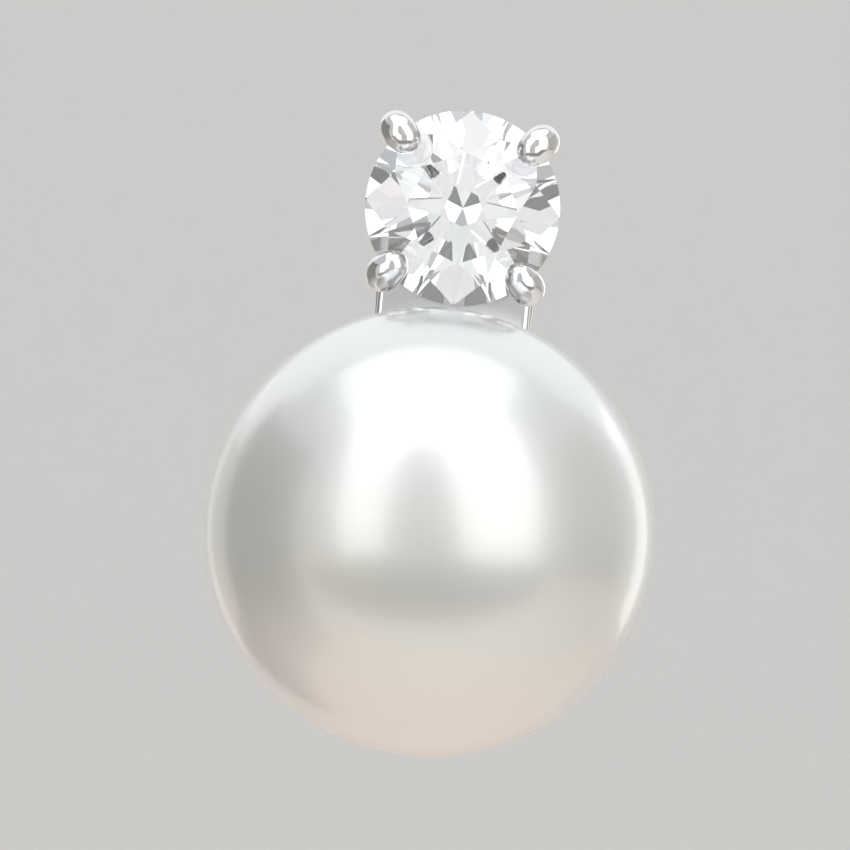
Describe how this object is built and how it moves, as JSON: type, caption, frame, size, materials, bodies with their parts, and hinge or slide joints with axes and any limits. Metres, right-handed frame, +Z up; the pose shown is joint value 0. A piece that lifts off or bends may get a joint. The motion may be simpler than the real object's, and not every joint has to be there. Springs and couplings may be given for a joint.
{
  "type": "pearl clip-on earring",
  "caption": "Clip-on earring: a round pearl below a claw-set round brilliant stone, on a sprung U-shaped clip that grips the ear lobe.",
  "frame": {"origin": "on the stone's axis, in the middle of the gap between the clip's front leg and its pad, where the ear lobe is gripped", "axes": "-Y out of the stone's table, away from the head; +X towards the wearer's front on a right ear; +Z up"},
  "size_m": [0.011, 0.0185, 0.0158],
  "materials": {
    "pearl": "white nacre with a soft lustre",
    "stone": "clear, polished facets",
    "setting_metal": "polished white metal, cast and soldered",
    "clip_metal": "polished white metal, spring strip with fine wear"
  },
  "bodies": {
    "root": {"pearl": "pearl", "stone": "stone", "setting": "setting_metal", "ear_clip": "clip_metal"}
  },
  "joints": []
}
